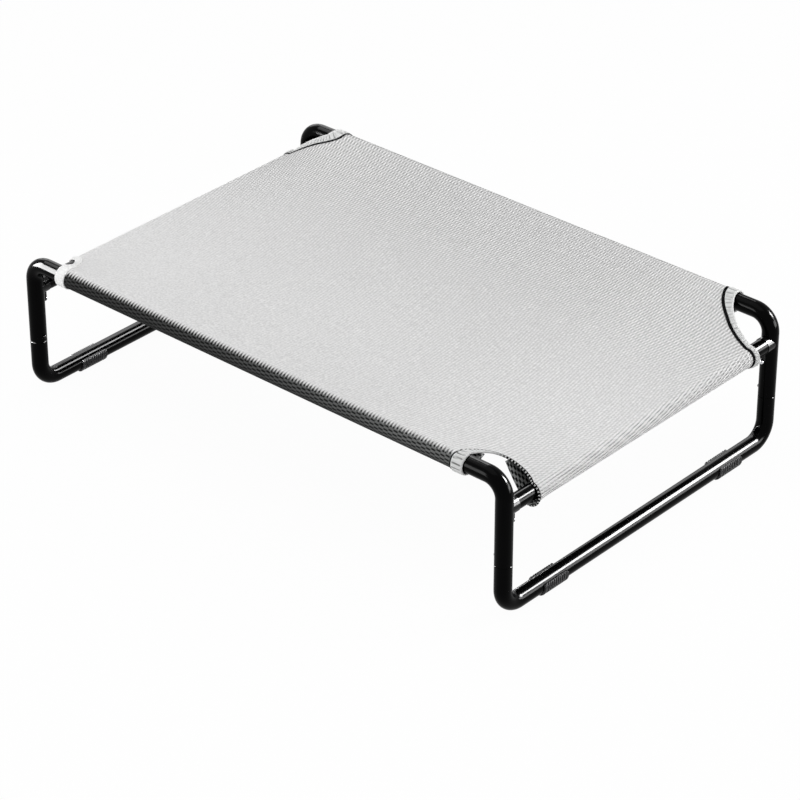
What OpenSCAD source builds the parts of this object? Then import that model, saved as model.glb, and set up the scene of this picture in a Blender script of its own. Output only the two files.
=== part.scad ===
// Raised dog cot: a mesh sling held on two side rails and two lower cross tubes,
// on two U-shaped leg frames that plug into the rails and lock with snap buttons.
// X runs along the cot, Y across it, Z up. The origin is on the floor, at the middle.

/* [Frame] */
// Distance between the uprights along the cot, centre to centre
leg_spacing_x = 885; // [600:5:1200]
// Distance between the uprights across the cot, centre to centre
leg_spacing_y = 578; // [420:2:800]
// Height of the side rails above the bottom bars, centre to centre
rail_rise = 199; // [190:1:320]
// Outside diameter of the side rails and leg frames
tube_d = 25; // [23:0.5:30]
// Wall of every tube
tube_wall = 1.2; // [0.8:0.1:1.6]
// Centre line radius of the bends at the ends of a side rail
rail_bend_r = 28; // [24:1:32]
// Centre line radius of the bends of a leg frame
leg_bend_r = 30; // [24:1:40]
// How far the seam between rail and leg frame lies below the rail's centre
seam_drop = 129; // [120:1:135]
// Length of the reduced neck of a leg frame that goes up into the rail
neck_len = 42; // [36:1:50]
// Room between the neck and the bore of the rail, on the radius
neck_clear = 0.2; // [0.1:0.05:0.4]
// Size of the chamfer on each side of the seam
seam_chamfer = 0.5; // [0.2:0.1:0.8]

/* [Cross tubes] */
// Outside diameter of a cross tube
cross_d = 23; // [20:0.5:25]
// How far a cross tube's centre lies below the side rails' centres
cross_drop = 42.5; // [38:0.5:60]

/* [Joint blocks] */
// Distance from an upright's centre to the end of the cross tube
block_reach = 18.5; // [17:0.5:24]
// Radius by which a block's collar stands over the cross tube
collar_step = 0.8; // [0.3:0.1:2]
// Length of the plug inside the cross tube
plug_len = 26; // [16:1:40]
// Room between the plug and the bore of the cross tube, on the radius
plug_clear = 0.2; // [0.1:0.05:0.4]
// Distance of the screw below the cross tube's centre
screw_drop = 25; // [22:0.5:30]
// Width of the tab that holds the screw
tab_w = 8; // [8:0.5:12]
// Distance from the upright's centre to the screw's seat on the tab
tab_reach = 17; // [16:0.5:19]
// Room between a saddle face and the upright it seats on
saddle_clear = 0.05; // [0.02:0.01:0.2]

/* [Screws] */
// Diameter of the screw's shank
screw_d = 3.6; // [3:0.1:4.5]
// Diameter of the screw's head
screw_head_d = 7; // [6:0.5:9]
// Height of the screw's head
screw_head_h = 2.6; // [2:0.1:3.5]
// Length of the screw under its head
screw_len = 12; // [8:0.5:16]
// Room round the screw's shank, on the radius
screw_clear = 0.15; // [0.05:0.05:0.4]
// Width across the flats of the socket in the screw's head
socket_af = 3; // [2:0.5:3.5]
// Depth of that socket
socket_depth = 1.6; // [1:0.1:1.8]

/* [Snap buttons] */
// Diameter of a snap button
button_d = 5; // [4:0.5:6]
// How far a button stands out of the rail
button_proud = 3.5; // [2.5:0.1:4.5]
// Height of the button above the seam
button_rise = 9.5; // [8:0.5:12]
// Room round the button in its holes, on the radius
button_clear = 0.3; // [0.2:0.05:0.5]
// Diameter of the flange that keeps the button in the neck
button_flange_d = 7.6; // [6.5:0.1:8]
// Thickness of that flange
button_flange_t = 0.8; // [0.6:0.1:1.2]
// Thickness of the leaf spring
leaf_t = 0.6; // [0.4:0.1:0.8]
// Width of the leaf spring
leaf_w = 7; // [5:0.5:8]
// Length of the leaf spring below the button
leaf_len = 34; // [24:1:40]

/* [Feet] */
// Distance of a foot's middle from the upright's centre
foot_inset = 96; // [70:1:160]
// Length of a foot along the bottom bar
foot_len = 48; // [30:1:70]
// Thickness of a foot's wall
foot_wall = 2.1; // [1.5:0.1:4]
// How far the ribs stand out of the wall
rib_h = 0.7; // [0.4:0.1:1.2]
// Distance from rib to rib
rib_pitch = 4; // [3:0.25:6]
// Width of one rib
rib_w = 2; // [1:0.1:2.5]
// Width of the smooth collar at each end of a foot
foot_collar_w = 3.4; // [2:0.1:6]
// Angle above level to which a foot's two lips climb round the bar
lip_angle = 32; // [10:1:45]
// Radius of the lips' corners
lip_corner_r = 5; // [2:0.5:6]
// Room between the foot and the bar, on the radius
foot_clear = 0.05; // [0.02:0.01:0.2]

/* [Sling] */
// Thickness of the mesh cloth
cloth_t = 1; // [0.8:0.1:1.5]
// Room between a loop of cloth and the top of its tube
loop_clear = 0.6; // [0.5:0.1:1.2]
// How far the sleeves on the side rails hang low
rail_slack = 0.8; // [0.4:0.1:2]
// How far the pockets on the cross tubes hang low
cross_slack = 1.5; // [0.4:0.1:3]
// Distance from a side rail's centre to the seam of its sleeve
rail_seam_in = 32; // [26:1:50]
// Distance from a cross tube's centre to the seam of its pocket
cross_seam_in = 45; // [30:1:60]
// Room between a seam's free edge and the cloth above it
seam_gap = 0.4; // [0.3:0.1:1]
// Bare length of each rail at the left end
rail_bare_left = 57; // [46:1:80]
// Bare length of each rail at the right end
rail_bare_right = 62; // [46:1:80]
// Bare length of the left cross tube on the near side
cross_bare_front_left = 84; // [60:1:90]
// Bare length of the right cross tube on the near side
cross_bare_front_right = 58; // [40:1:80]
// Bare length of the left cross tube on the far side
cross_bare_back_left = 28; // [26:1:60]
// Bare length of the right cross tube on the far side
cross_bare_back_right = 41; // [30:1:60]
// Squareness of the cut-out at the near left corner, 1 is straight and 2 is round
cut_power_front_left = 1.1; // [1:0.1:2]
// Squareness of the cut-out at the near right corner
cut_power_front_right = 3.6; // [2:0.1:4]
// Squareness of the cut-out at the far left corner
cut_power_back_left = 1.5; // [1.2:0.1:3]
// Squareness of the cut-out at the far right corner
cut_power_back_right = 1.8; // [1.2:0.1:3]

/* [Binding tapes] */
// Width of a binding tape
tape_w = 15; // [10:1:20]
// Thickness of a binding tape
tape_t = 0.7; // [0.5:0.1:1.2]
// Room between a tape and the cloth under it
tape_gap = 1.4; // [1:0.1:1.8]

/* [Hidden] */
$fn = 64;
eps = 0.01;

half_x = leg_spacing_x / 2;
half_y = leg_spacing_y / 2;
tube_r = tube_d / 2;
bore_r = tube_r - tube_wall;
neck_r = bore_r - neck_clear;
neck_bore_r = neck_r - tube_wall;
foot_r = tube_r + foot_wall + rib_h;
bar_z = tube_r + foot_wall;
rail_z = bar_z + rail_rise;
seam_rise = rail_rise - seam_drop;
seam_z = bar_z + seam_rise;
button_z = seam_z + button_rise;
cross_z = rail_z - cross_drop;
cross_r = cross_d / 2;
screw_z = cross_z - screw_drop;
button_tip = tube_r + button_proud;

frame_black = [0.05, 0.05, 0.055];
plastic_black = [0.09, 0.09, 0.1];
zinc = [0.75, 0.76, 0.78];
spring_steel = [0.45, 0.47, 0.5];
cloth_grey = [0.82, 0.83, 0.83];
tape_white = [0.93, 0.93, 0.92];

// Places a shape drawn for the corner at +X, +Y into the corner with these signs
module corner(sx, sy) {
    translate([sx * half_x, sy * half_y, 0])
        mirror([sx < 0 ? 1 : 0, 0, 0])
            mirror([0, sy < 0 ? 1 : 0, 0])
                children();
}

// Rod along +Z from z0 to z1
module rod(r, z0, z1) {
    translate([0, 0, z0])
        cylinder(r = r, h = z1 - z0);
}

// Solid of a tube bent down at both ends, in the XZ plane, with its level run at z = 0
module bent_rod(r, half_span, bend_r, low_z) {
    rotate([0, 90, 0])
        rod(r, -half_span + bend_r, half_span - bend_r);
    for (side = [-1, 1])
        translate([side * half_span, 0, 0])
            rod(r, low_z, -bend_r);
    for (side = [0, 1])
        mirror([side, 0, 0])
            translate([half_span - bend_r, 0, -bend_r])
                rotate([90, 0, 0])
                    rotate_extrude(angle = 90)
                        translate([bend_r, 0])
                            circle(r = r);
}

// Cuts a chamfer round the end of a tube, whose end face is at z = 0 and whose body is above
module seam_cut() {
    difference() {
        rod(tube_r * 2, -eps, seam_chamfer);
        translate([0, 0, -eps])
            cylinder(r1 = tube_r - seam_chamfer - eps, r2 = tube_r + eps, h = seam_chamfer + eps * 2);
    }
}

// Side rail

module side_rail(sy) {
    color(frame_black)
        difference() {
            translate([0, sy * half_y, rail_z])
                bent_rod(tube_r, half_x, rail_bend_r, seam_z - rail_z);
            translate([0, sy * half_y, rail_z])
                bent_rod(bore_r, half_x, rail_bend_r, seam_z - rail_z - eps);
            for (sx = [-1, 1])
                corner(sx, sy) {
                    button_hole();
                    screw_hole(screw_d / 2);
                    translate([0, 0, seam_z])
                        seam_cut();
                }
        }
}

// Leg frame

module leg_frame(sx) {
    color(frame_black)
        difference() {
            union() {
                difference() {
                    translate([sx * half_x, 0, bar_z])
                        rotate([0, 180, 90])
                            bent_rod(tube_r, half_y, leg_bend_r, -seam_rise);
                    for (sy = [-1, 1])
                        translate([sx * half_x, sy * half_y, seam_z])
                            mirror([0, 0, 1])
                                seam_cut();
                }
                for (sy = [-1, 1])
                    translate([sx * half_x, sy * half_y, 0])
                        rod(neck_r, seam_z - eps, seam_z + neck_len);
            }
            translate([sx * half_x, 0, bar_z])
                rotate([0, 180, 90])
                    bent_rod(bore_r, half_y, leg_bend_r, -(seam_rise - tube_wall));
            for (sy = [-1, 1])
                translate([sx * half_x, sy * half_y, 0])
                    rod(neck_bore_r, seam_z - tube_wall - eps, seam_z + neck_len + eps);
            for (sy = [-1, 1])
                corner(sx, sy)
                    button_hole();
        }
}

// Cross tube

module cross_tube(sx) {
    color(frame_black)
        translate([sx * half_x, 0, cross_z])
            rotate([90, 0, 0])
                difference() {
                    rod(cross_r, -half_y + block_reach, half_y - block_reach);
                    rod(cross_r - tube_wall, -half_y, half_y);
                }
}

// Joint block: collar, plug and screw tab, seated on the inner side of an upright

module screw_hole(r) {
    translate([0, 0, screw_z])
        rotate([90, 0, 0])
            rod(r, 0, tab_reach + eps);
}

module joint_block(sx, sy) {
    plug_r = cross_r - tube_wall - plug_clear;
    tab_root = tube_r * 0.6;
    color(plastic_black)
        corner(sx, sy)
            difference() {
                union() {
                    translate([0, 0, cross_z])
                        rotate([90, 0, 0]) {
                            rod(cross_r + collar_step, 0, block_reach);
                            rod(plug_r, block_reach - eps, block_reach + plug_len - plug_clear * 4);
                            rod(plug_r - plug_clear * 4, block_reach, block_reach + plug_len);
                        }
                    translate([-tab_w / 2, -tab_reach, screw_z])
                        cube([tab_w, tab_reach - tab_root, screw_drop]);
                    translate([0, 0, screw_z])
                        rotate([90, 0, 0])
                            rod(tab_w / 2, tab_root, tab_reach);
                }
                rod(tube_r + saddle_clear, screw_z - tab_w, cross_z + cross_d);
                screw_hole(screw_d / 2 + screw_clear);
            }
}

// Screw that holds a joint block to its upright

module block_screw(sx, sy) {
    color(zinc)
        corner(sx, sy)
            translate([0, -tab_reach, screw_z])
                rotate([90, 0, 0])
                    difference() {
                        union() {
                            rod(screw_d / 2 - saddle_clear, -screw_len, eps);
                            screw_head();
                        }
                        translate([0, 0, screw_head_h - socket_depth])
                            cylinder(d = socket_af / cos(30), h = screw_head_h, $fn = 6);
                    }
}

// Low round head, with its crown as an arc
module screw_head() {
    head_r = screw_head_d / 2;
    crown_h = screw_head_h * 0.45;
    crown_r = (head_r * head_r + crown_h * crown_h) / (2 * crown_h);
    intersection() {
        rod(head_r, 0, screw_head_h);
        translate([0, 0, screw_head_h - crown_r])
            sphere(r = crown_r);
    }
}

// Snap button and its leaf spring, inside the neck of a leg frame

module button_hole() {
    translate([0, 0, button_z])
        rotate([0, -90, 0])
            rod(button_d / 2 + button_clear, 0, tube_d);
}

function flange_face() = sqrt(pow(neck_bore_r, 2) - pow(button_flange_d / 2, 2)) - 0.1;

module snap_button(sx, sy) {
    button_r = button_d / 2;
    dome_h = button_r * 0.5;
    dome_r = (button_r * button_r + dome_h * dome_h) / (2 * dome_h);
    color(plastic_black)
        corner(sx, sy)
            translate([0, 0, button_z])
                rotate([0, -90, 0])
                    union() {
                        rod(button_r, flange_face() - eps, button_tip - dome_h);
                        intersection() {
                            rod(button_r, button_tip - dome_h - eps, button_tip);
                            translate([0, 0, button_tip - dome_r])
                                sphere(r = dome_r);
                        }
                        rod(button_flange_d / 2, flange_face() - button_flange_t, flange_face());
                    }
}

module button_spring(sx, sy) {
    face = flange_face() - button_flange_t - 0.1;
    pad = button_flange_d / 2 + 1;
    heel = leaf_t * 2;
    color(spring_steel)
        corner(sx, sy)
            translate([0, leaf_w / 2, button_z])
                rotate([90, 0, 0])
                    linear_extrude(height = leaf_w)
                        polygon([
                            [-face, pad], [-face, -pad], [-heel, -leaf_len], [heel, -leaf_len],
                            [face, -pad], [face, pad], [face - leaf_t, pad], [face - leaf_t, -pad],
                            [heel - leaf_t, -leaf_len + leaf_t * 2], [leaf_t - heel, -leaf_len + leaf_t * 2],
                            [leaf_t - face, -pad], [leaf_t - face, pad]
                        ]);
}

// Foot: ribbed saddle round the underside of a bottom bar

module foot_profile(r) {
    difference() {
        circle(r = r);
        circle(r = tube_r + foot_clear);
        translate([-foot_r * 2, (tube_r + foot_clear) * sin(lip_angle)])
            square([foot_r * 4, foot_r * 2]);
        translate([-foot_r * 2, -bar_z - foot_r])
            square([foot_r * 4, foot_r]);
    }
}

module foot_slice(r, y0, width) {
    translate([0, y0 + width, 0])
        rotate([90, 0, 0])
            linear_extrude(height = width)
                foot_profile(r);
}

// Side view of a foot, whose upper corners are round
module foot_outline() {
    top = foot_r * sin(lip_angle);
    run = foot_len / 2 - lip_corner_r;
    translate([-foot_len / 2, -foot_r])
        square([foot_len, foot_r + top - lip_corner_r]);
    translate([-run, -foot_r])
        square([run * 2, foot_r + top]);
    for (side = [-1, 1])
        translate([side * run, top - lip_corner_r])
            circle(r = lip_corner_r);
}

module foot(sx, sy) {
    ribbed = foot_len - foot_collar_w * 2;
    gaps = floor((ribbed - rib_pitch + rib_w) / rib_pitch);
    color(plastic_black)
        corner(sx, sy)
            translate([0, -foot_inset, bar_z])
                intersection() {
                    union() {
                        foot_slice(foot_r - rib_h, -foot_len / 2, foot_len);
                        for (side = [0, 1])
                            foot_slice(foot_r, -foot_len / 2 + side * (foot_len - foot_collar_w), foot_collar_w);
                        for (i = [0 : gaps - 1])
                            foot_slice(foot_r, (i - (gaps - 1) / 2) * rib_pitch - rib_w / 2, rib_w);
                    }
                    translate([-foot_r * 2, 0, 0])
                        rotate([90, 0, 90])
                            linear_extrude(height = foot_r * 4)
                                foot_outline();
                }
}

// Sling: one sheet of cloth with a sleeve round each side rail and a pocket round each
// cross tube. Its middle surface is a grid in the shape of a plus, made thick at the end.

rail_loop_r = tube_r + loop_clear + rail_slack + cloth_t / 2;
cross_loop_r = cross_r + loop_clear + cross_slack + cloth_t / 2;
rail_loop_z = rail_z - rail_slack;
cross_loop_z = cross_z - cross_slack;
edge_high = rail_loop_z + rail_loop_r;
edge_low = cross_loop_z + cross_loop_r;

// Angles of the loop's points, from the top round the outside to where it leaves the tube
LOOP = [67.5, 45, 22.5, 0, -22.5, -45, -67.5, -90, -125];
loop_n = len(LOOP) + 1;
// Rows of a corner cut-out, as shares of its depth across the cot
CUT = [0, 0.08, 0.2, 0.4, 0.62, 0.82, 0.94, 1];
cut_n = len(CUT) - 1;
mid_n = 6;
col_n = 10;
row_n = 2 * cut_n + mid_n;

function sinh(a) = (exp(a) - exp(-a)) / 2;
function mix(a, b, t) = a + (b - a) * t;

// Share of the way from the low edges to the high ones: the shape of a sheet in even
// tension whose long edges are high and whose short edges are low
function lift(x, y) =
    let (
        across = cos(180 * y / leg_spacing_y),
        left = PI * (x + half_x) / leg_spacing_y,
        right = PI * (half_x - x) / leg_spacing_y
    )
    1 - (atan2(across, sinh(left)) + atan2(across, sinh(right))) / 90;

// Height of the cloth, which also lies on the rail's sleeve where that stands higher
function deck_z(x, y) =
    let (in_y = half_y - abs(y), sheet = mix(edge_low, edge_high, max(0, min(1, lift(x, y)))))
    in_y < rail_loop_r ? max(sheet, rail_loop_z + sqrt(pow(rail_loop_r, 2) - in_y * in_y)) : sheet;

function rail_bare(sx) = sx < 0 ? rail_bare_left : rail_bare_right;

function at_corner(sx, sy, front_left, front_right, back_left, back_right) =
    sy < 0 ? (sx < 0 ? front_left : front_right) : (sx < 0 ? back_left : back_right);

function cross_bare(sx, sy) =
    at_corner(
        sx, sy,
        cross_bare_front_left, cross_bare_front_right, cross_bare_back_left, cross_bare_back_right
    );

function cut_power(sx, sy) =
    at_corner(
        sx, sy,
        cut_power_front_left, cut_power_front_right, cut_power_back_left, cut_power_back_right
    );

// Point of a corner cut-out's edge, moved inwards by grow, at the share s of its depth
function cut_point(sx, sy, s, grow = 0) =
    let (
        p = cut_power(sx, sy),
        in_x = (rail_bare(sx) + grow) * pow(max(0, 1 - pow(s, p)), 1 / p),
        in_y = (cross_bare(sx, sy) + grow) * s
    )
    [sx * (half_x - in_x), sy * (half_y - in_y)];

// End of row j on the left or right side
function row_end(sx, j) =
    j <= cut_n ? cut_point(sx, -1, CUT[j])
    : j >= row_n - cut_n ? cut_point(sx, 1, CUT[row_n - j])
    : mix(cut_point(sx, -1, 1), cut_point(sx, 1, 1), (j - cut_n) / mid_n);

// Columns lie closer together near both ends
function col_share(i) = mix(i / col_n, (1 - cos(180 * i / col_n)) / 2, 0.6);

function deck_xy(i, j) = mix(row_end(-1, j), row_end(1, j), col_share(i));

// Point and outward direction of a loop, as [outward offset, height, outward part, upward part]
function loop_point(k, r, z0, seam_in, seam_z) =
    let (
        a = LOOP[min(k, loop_n - 1) - 1],
        bottom = [r * cos(LOOP[loop_n - 2]), z0 + r * sin(LOOP[loop_n - 2])],
        run = [-seam_in - bottom[0], seam_z - bottom[1]],
        side = [-run[1], run[0]] / norm(run)
    )
    k < loop_n ? [r * cos(a), z0 + r * sin(a), cos(a), sin(a)] : [-seam_in, seam_z, side[0], side[1]];

// One grid point: [place, outward direction]. Rows below 0 and above row_n are the sleeves,
// columns below 0 and above col_n are the pockets.
function grid_point(i, j) =
    let (
        out_j = j < 0 ? -j : j > row_n ? j - row_n : 0,
        out_i = i < 0 ? -i : i > col_n ? i - col_n : 0,
        sy = j < 0 ? -1 : 1,
        sx = i < 0 ? -1 : 1,
        base = deck_xy(max(0, min(col_n, i)), max(0, min(row_n, j))),
        under_y = deck_z(base[0], sy * (half_y - rail_seam_in)) - cloth_t - seam_gap,
        under_x = deck_z(sx * (half_x - cross_seam_in), base[1]) - cloth_t - seam_gap,
        lp = out_j > 0 ? loop_point(out_j, rail_loop_r, rail_loop_z, rail_seam_in, under_y)
            : out_i > 0 ? loop_point(out_i, cross_loop_r, cross_loop_z, cross_seam_in, under_x)
            : [0, 0, 0, 0]
    )
    out_j > 0 ? [[base[0], sy * (half_y + lp[0]), lp[1]], [0, sy * lp[2], lp[3]]]
    : out_i > 0 ? [[sx * (half_x + lp[0]), base[1], lp[1]], [sx * lp[2], 0, lp[3]]]
    : [[base[0], base[1], deck_z(base[0], base[1])], [0, 0, 1]];

main_rows = row_n + 1 + 2 * loop_n;
side_rows = row_n - 2 * cut_n + 1;
left_start = main_rows * (col_n + 1);
right_start = left_start + loop_n * side_rows;

function grid_index(i, j) =
    i < 0 ? left_start + (-i - 1) * side_rows + j - cut_n
    : i > col_n ? right_start + (i - col_n - 1) * side_rows + j - cut_n
    : (j + loop_n) * (col_n + 1) + i;

grid_places = concat(
    [for (j = [-loop_n : row_n + loop_n]) for (i = [0 : col_n]) [i, j]],
    [for (k = [1 : loop_n]) for (j = [cut_n : row_n - cut_n]) [-k, j]],
    [for (k = [1 : loop_n]) for (j = [cut_n : row_n - cut_n]) [col_n + k, j]]
);

grid_cells = concat(
    [for (j = [-loop_n : row_n + loop_n - 1]) for (i = [0 : col_n - 1]) [i, j]],
    [for (i = [-loop_n : -1]) for (j = [cut_n : row_n - cut_n - 1]) [i, j]],
    [for (i = [col_n : col_n + loop_n - 1]) for (j = [cut_n : row_n - cut_n - 1]) [i, j]]
);

// The sheet's rim, once round, against the clock as seen from above
rim = concat(
    [for (i = [0 : col_n]) [i, -loop_n]],
    [for (j = [-loop_n + 1 : cut_n]) [col_n, j]],
    [for (k = [1 : loop_n]) [col_n + k, cut_n]],
    [for (j = [cut_n + 1 : row_n - cut_n]) [col_n + loop_n, j]],
    [for (k = [loop_n - 1 : -1 : 1]) [col_n + k, row_n - cut_n]],
    [for (j = [row_n - cut_n : row_n + loop_n]) [col_n, j]],
    [for (i = [col_n - 1 : -1 : 0]) [i, row_n + loop_n]],
    [for (j = [row_n + loop_n - 1 : -1 : row_n - cut_n]) [0, j]],
    [for (k = [1 : loop_n]) [-k, row_n - cut_n]],
    [for (j = [row_n - cut_n - 1 : -1 : cut_n]) [-loop_n, j]],
    [for (k = [loop_n - 1 : -1 : 1]) [-k, cut_n]],
    [for (j = [cut_n : -1 : -loop_n + 1]) [0, j]]
);

module mesh_sling() {
    grid = [for (g = grid_places) grid_point(g[0], g[1])];
    count = len(grid);
    outer = [for (g = grid) g[0] + g[1] * cloth_t / 2];
    inner = [for (g = grid) g[0] - g[1] * cloth_t / 2];
    cells = [
        for (c = grid_cells)
            [
                grid_index(c[0], c[1]), grid_index(c[0], c[1] + 1),
                grid_index(c[0] + 1, c[1] + 1), grid_index(c[0] + 1, c[1])
            ]
    ];
    edge = [for (r = rim) grid_index(r[0], r[1])];
    color(cloth_grey)
        polyhedron(
            points = concat(outer, inner),
            faces = concat(
                [for (c = cells) [c[0], c[1], c[2]]],
                [for (c = cells) [c[0], c[2], c[3]]],
                [for (c = cells) [c[2] + count, c[1] + count, c[0] + count]],
                [for (c = cells) [c[3] + count, c[2] + count, c[0] + count]],
                [for (m = [0 : len(edge) - 1]) [edge[m], edge[(m + 1) % len(edge)], edge[m] + count]],
                [
                    for (m = [0 : len(edge) - 1])
                        [edge[(m + 1) % len(edge)], edge[(m + 1) % len(edge)] + count, edge[m] + count]
                ]
            ),
            convexity = 8
        );
}

// Binding tape: a band round the end of the rail's sleeve, along the corner cut-out and
// round the end of the cross tube's pocket

TAPE_CUT = [0.05, 0.2, 0.4, 0.6, 0.78, 0.9, 0.97, 1];
TAPE_LOOP = [-90, -67.5, -45, -22.5, 0, 22.5, 45, 67.5, 90];

// One cross-section of the tape: [edge place, inner place, outward direction]
function tape_section(sx, sy, part, s) =
    let (
        lift_t = cloth_t / 2 + tape_gap,
        rim_in = rail_bare(sx),
        rim_y = cross_bare(sx, sy),
        a = cut_point(sx, sy, s),
        b = cut_point(sx, sy, s, tape_w),
        r1 = rail_loop_r + lift_t,
        r2 = cross_loop_r + lift_t
    )
    part == 0 ? [
        [sx * (half_x - rim_in), sy * (half_y + r1 * cos(s)), rail_loop_z + r1 * sin(s)],
        [sx * (half_x - rim_in - tape_w), sy * (half_y + r1 * cos(s)), rail_loop_z + r1 * sin(s)],
        [0, sy * cos(s), sin(s)]
    ]
    : part == 1 ? [
        [a[0], a[1], deck_z(a[0], a[1]) + lift_t],
        [b[0], b[1], deck_z(b[0], b[1]) + lift_t],
        [0, 0, 1]
    ]
    : [
        [sx * (half_x + r2 * cos(s)), sy * (half_y - rim_y), cross_loop_z + r2 * sin(s)],
        [sx * (half_x + r2 * cos(s)), sy * (half_y - rim_y - tape_w), cross_loop_z + r2 * sin(s)],
        [sx * cos(s), 0, sin(s)]
    ];

module edge_tape(sx, sy) {
    sections = concat(
        [for (a = TAPE_LOOP) tape_section(sx, sy, 0, a)],
        [for (s = TAPE_CUT) tape_section(sx, sy, 1, s)],
        [for (m = [len(TAPE_LOOP) - 2 : -1 : 0]) tape_section(sx, sy, 2, TAPE_LOOP[m])]
    );
    n = len(sections);
    turned = sx * sy > 0;
    points = [for (s = sections) each [s[0], s[1], s[1] + s[2] * tape_t, s[0] + s[2] * tape_t]];
    // Top and bottom are split along the same diagonal, so that a twisted tape stays thick
    sides = [
        for (m = [0 : n - 2]) for (q = [0 : 3])
            let (a = 4 * m + q, b = 4 * m + (q + 1) % 4)
            each q == 2 ? [[a, b, a + 4], [b, b + 4, a + 4]] : [[a, b, b + 4], [a, b + 4, a + 4]]
    ];
    ends = [[0, 3, 2], [0, 2, 1], [4 * n - 4, 4 * n - 3, 4 * n - 2], [4 * n - 4, 4 * n - 2, 4 * n - 1]];
    faces = concat(sides, ends);
    color(tape_white)
        polyhedron(
            points = points,
            faces = turned ? faces : [for (f = faces) [f[2], f[1], f[0]]],
            convexity = 8
        );
}

side_rail(-1);  // side_rail_front
side_rail(1);  // side_rail_back
leg_frame(-1);  // leg_frame_left
leg_frame(1);  // leg_frame_right
cross_tube(-1);  // cross_tube_left
cross_tube(1);  // cross_tube_right
joint_block(-1, -1);  // joint_block_front_left
joint_block(1, -1);  // joint_block_front_right
joint_block(-1, 1);  // joint_block_back_left
joint_block(1, 1);  // joint_block_back_right
block_screw(-1, -1);  // block_screw_front_left
block_screw(1, -1);  // block_screw_front_right
block_screw(-1, 1);  // block_screw_back_left
block_screw(1, 1);  // block_screw_back_right
snap_button(-1, -1);  // snap_button_front_left
snap_button(1, -1);  // snap_button_front_right
snap_button(-1, 1);  // snap_button_back_left
snap_button(1, 1);  // snap_button_back_right
button_spring(-1, -1);  // button_spring_front_left
button_spring(1, -1);  // button_spring_front_right
button_spring(-1, 1);  // button_spring_back_left
button_spring(1, 1);  // button_spring_back_right
foot(-1, -1);  // foot_front_left
foot(1, -1);  // foot_front_right
foot(-1, 1);  // foot_back_left
foot(1, 1);  // foot_back_right
mesh_sling();
edge_tape(-1, -1);  // edge_tape_front_left
edge_tape(1, -1);  // edge_tape_front_right
edge_tape(-1, 1);  // edge_tape_back_left
edge_tape(1, 1);  // edge_tape_back_right
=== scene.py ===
"""Raised dog cot: its stretched cloth, the bindings at the cut-outs and every finish."""

import bisect
import math
from functools import lru_cache
from typing import NamedTuple

import bmesh
import bpy
from bpy.props import FloatProperty, FloatVectorProperty, IntProperty, PointerProperty
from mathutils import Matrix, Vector


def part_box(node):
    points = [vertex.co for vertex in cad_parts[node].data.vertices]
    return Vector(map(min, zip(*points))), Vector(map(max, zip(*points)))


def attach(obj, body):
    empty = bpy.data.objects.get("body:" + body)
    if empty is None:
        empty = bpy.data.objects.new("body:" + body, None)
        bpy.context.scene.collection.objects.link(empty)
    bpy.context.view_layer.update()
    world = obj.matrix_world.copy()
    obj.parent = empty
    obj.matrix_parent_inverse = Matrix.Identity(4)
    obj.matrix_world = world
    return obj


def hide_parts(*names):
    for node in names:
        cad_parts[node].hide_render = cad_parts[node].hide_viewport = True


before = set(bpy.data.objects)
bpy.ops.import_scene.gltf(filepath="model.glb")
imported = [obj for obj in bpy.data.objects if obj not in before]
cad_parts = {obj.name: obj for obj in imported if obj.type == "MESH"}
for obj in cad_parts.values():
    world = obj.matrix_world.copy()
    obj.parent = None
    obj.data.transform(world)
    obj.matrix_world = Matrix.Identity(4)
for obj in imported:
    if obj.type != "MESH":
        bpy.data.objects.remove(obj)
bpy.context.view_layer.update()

bl_info = {
    "name": "Raised Dog Cot",
    "version": (1, 0, 0),
    "blender": (4, 5, 0),
    "location": "3D View > Sidebar > Dog Cot",
    "description": "Cloth, bindings and finishes of a raised dog cot",
    "category": "Object",
}

# Places of the tubes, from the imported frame

leg_low, leg_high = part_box("leg_frame_right")
rail_low, rail_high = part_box("side_rail_back")
cross_low, cross_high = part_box("cross_tube_right")

TUBE_R = (leg_high.x - leg_low.x) / 2
HALF_X = (leg_high.x + leg_low.x) / 2  # from the middle to a leg frame and its cross tube
HALF_Y = leg_high.y - TUBE_R  # from the middle to a rail
RAIL_Z = rail_high.z - TUBE_R
CROSS_R = (cross_high.z - cross_low.z) / 2
CROSS_Z = (cross_high.z + cross_low.z) / 2
SEAM_Z = rail_low.z  # where the rails end and the leg frames begin
RIB_PITCH = 0.004  # of the feet
CORNERS = [("front", "left"), ("front", "right"), ("back", "left"), ("back", "right")]


class Corner(NamedTuple):
    """Cut-out at one corner of the cloth, in metres, and the tape that binds it."""

    bare_rail: float  # length of rail that the cut-out leaves bare
    bare_cross: float  # the same on the cross tube
    power: float  # 1 is a straight cut, 2 a round one, more a square one
    mouth: float  # how far the pocket's mouth gapes
    tape: str  # material of the tape
    widths: tuple  # of the tape, from under the rail to under the cross tube
    gather: float  # height of the tape's folds
    pitch: float  # from fold to fold
    shadow_line: float = 0.0  # half width of the painted shadow line inside the tape
    rail_pull: float = 0.0  # how far the sleeve's mouth creeps out along the rail
    cross_pull: float = 0.0  # how far the pocket's mouth creeps out along the cross tube
    under_pull: float = 0.0  # how much further it creeps beneath the tube


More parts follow.
